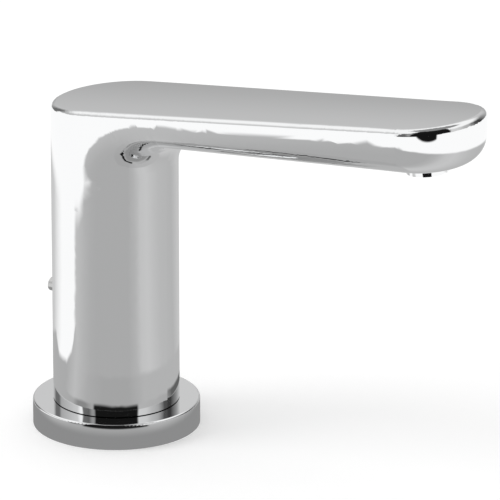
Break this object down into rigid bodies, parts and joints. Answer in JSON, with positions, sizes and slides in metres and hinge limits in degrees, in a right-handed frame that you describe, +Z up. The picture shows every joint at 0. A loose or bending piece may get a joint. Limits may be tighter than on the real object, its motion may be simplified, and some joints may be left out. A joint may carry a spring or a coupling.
{
  "type": "deck-mounted bath spout",
  "caption": "Handle-less deck-mounted bath spout: a round column on a round base, and a flat-topped arm that slopes up to a rounded nose with an aerator under its tip.",
  "frame": {"origin": "on the column's axis, in the plane of the base's underside, which is the face of the deck", "axes": "+Z up along the column's axis, +X along the arm towards the nose at rest, +Y to the arm's left seen from above with the nose pointing away"},
  "size_m": [0.2149, 0.0702, 0.2298],
  "materials": {
    "polished_chrome": "polished chrome plate",
    "bare_brass": "machined",
    "copper_tube": "drawn copper",
    "plated_steel": "plated",
    "black_rubber": "moulded",
    "white_acetal": "moulded"
  },
  "bodies": {
    "deck_fixture": {"base_flange": "polished_chrome", "deck_seal": "black_rubber", "collar_seal": "black_rubber", "shank": "bare_brass", "lower_o_ring": "black_rubber", "upper_o_ring": "black_rubber", "lower_slide_ring": "white_acetal", "upper_slide_ring": "white_acetal", "swivel_washer": "white_acetal"},
    "clamp": {"clamp_gasket": "black_rubber", "clamp_washer": "plated_steel", "backnut": "bare_brass"},
    "spout": {"spout_body": "polished_chrome", "socket_sleeve": "bare_brass", "tube_inlet_ring": "black_rubber", "waterway_tube": "copper_tube", "tube_outlet_ring": "black_rubber", "outlet_socket": "bare_brass"},
    "screw": {"retaining_screw": "plated_steel"},
    "aerator_cartridge": {"aerator_insert": "white_acetal", "aerator_screen": "plated_steel", "aerator_seal": "black_rubber"},
    "aerator_shell": {"aerator_housing": "polished_chrome"}
  },
  "joints": [
    {"name": "spout_swivel", "type": "hinge", "parent": "deck_fixture", "child": "spout", "pos_m": [0, 0, 0.05], "axis": [0, 0, 1], "range_deg": [-60, 60]},
    {"name": "clamp_travel", "type": "slide", "parent": "deck_fixture", "child": "clamp", "axis": [0, 0, 1], "range_m": [-0.015, 0.015]},
    {"name": "screw_travel", "type": "slide", "parent": "spout", "child": "screw", "axis": [1, 0, 0], "range_m": [0, 0.007]},
    {"name": "aerator_travel", "type": "slide", "parent": "spout", "child": "aerator_cartridge", "axis": [0.1005, 0, -0.9949], "range_m": [0, 0.004]},
    {"name": "aerator_turn", "type": "hinge", "parent": "aerator_cartridge", "child": "aerator_shell", "pos_m": [0.156, 0, 0.14316], "axis": [0.1005, 0, -0.9949], "range_deg": [0, 1440]}
  ],
  "couplings": [
    {"joint": "aerator_turn", "follows": "aerator_travel", "rad_per_m": 6282.6}
  ]
}
